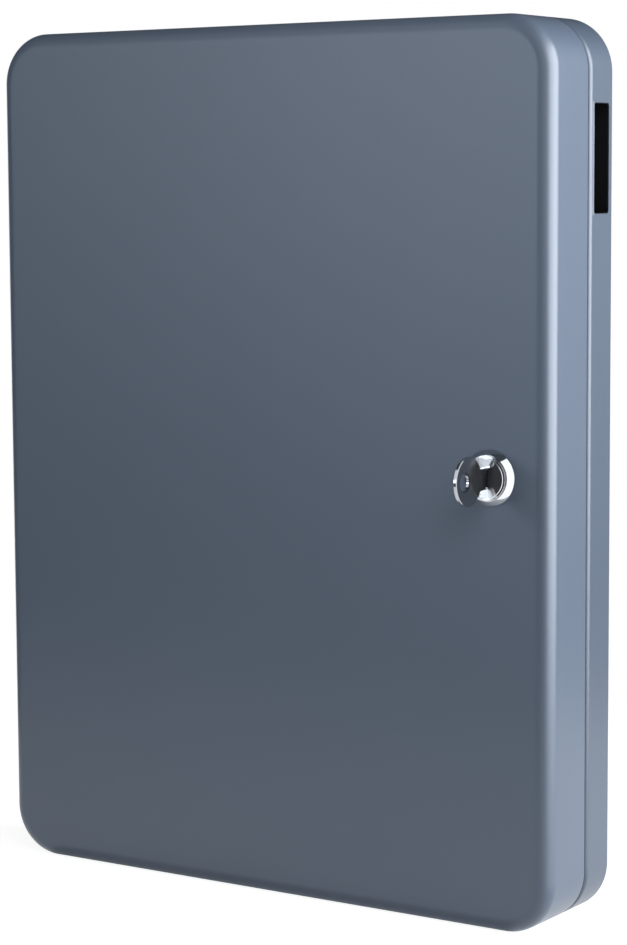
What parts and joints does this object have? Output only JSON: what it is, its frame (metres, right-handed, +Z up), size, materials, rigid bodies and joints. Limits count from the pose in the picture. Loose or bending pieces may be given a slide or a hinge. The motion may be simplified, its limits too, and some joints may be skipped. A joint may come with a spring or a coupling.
{
  "type": "wall key cabinet",
  "caption": "Shallow steel wall cabinet for keys, with a deep hinged door, cam lock, return slot in the side, and hook bars on slotted rails.",
  "frame": {"origin": "middle of the back wall's outer face, where the cabinet meets the wall of the room", "axes": "+Z up, +X to the right as seen from the front, +Y into the wall; the door's front faces -Y"},
  "size_m": [0.342, 0.0968, 0.45],
  "materials": {
    "paint": "satin powder coat, blue grey",
    "chrome": "polished chrome plate",
    "nickel": "nickel plate",
    "zinc": "bright zinc plate",
    "black_plastic": "black moulded plastic",
    "strip": "white label strip",
    "rubber": "black rubber"
  },
  "bodies": {
    "cabinet": {"back_box": "paint", "hinge_leaf_rear": "zinc", "hinge_pin": "zinc", "rail_left": "zinc", "rail_right": "zinc", "hook_bar_1": "zinc", "hook_bar_2": "zinc", "hook_bar_3": "zinc", "hook_bar_4": "zinc", "hook_bar_5": "zinc", "hook_bar_6": "zinc", "hook_bar_7": "zinc", "number_strip_1": "strip", "number_strip_2": "strip", "number_strip_3": "strip", "number_strip_4": "strip", "number_strip_5": "strip", "number_strip_6": "strip", "number_strip_7": "strip", "slot_guard": "black_plastic", "strike_plate": "zinc", "door_bumper_upper": "rubber", "door_bumper_lower": "rubber"},
    "door": {"door": "paint", "hinge_leaf_door": "zinc", "lock_trim_ring": "chrome", "lock_cylinder": "chrome", "lock_washer": "zinc", "lock_nut": "zinc"},
    "lock_core": {"lock_plug": "chrome", "lock_cam": "zinc", "cam_washer": "zinc", "cam_screw": "zinc"},
    "key": {"key": "nickel"}
  },
  "joints": [
    {"name": "door_swing", "type": "hinge", "parent": "cabinet", "child": "door", "pos_m": [-0.1699, -0.0246, 0], "axis": [0, 0, -1], "range_deg": [0, 120]},
    {"name": "lock_turn", "type": "hinge", "parent": "door", "child": "lock_core", "pos_m": [0.1365, -0.0632, 0.0017], "axis": [0, -1, 0], "range_deg": [0, 90]},
    {"name": "key_pull", "type": "slide", "parent": "lock_core", "child": "key", "axis": [0, -1, 0], "range_m": [0, 0.03]}
  ]
}
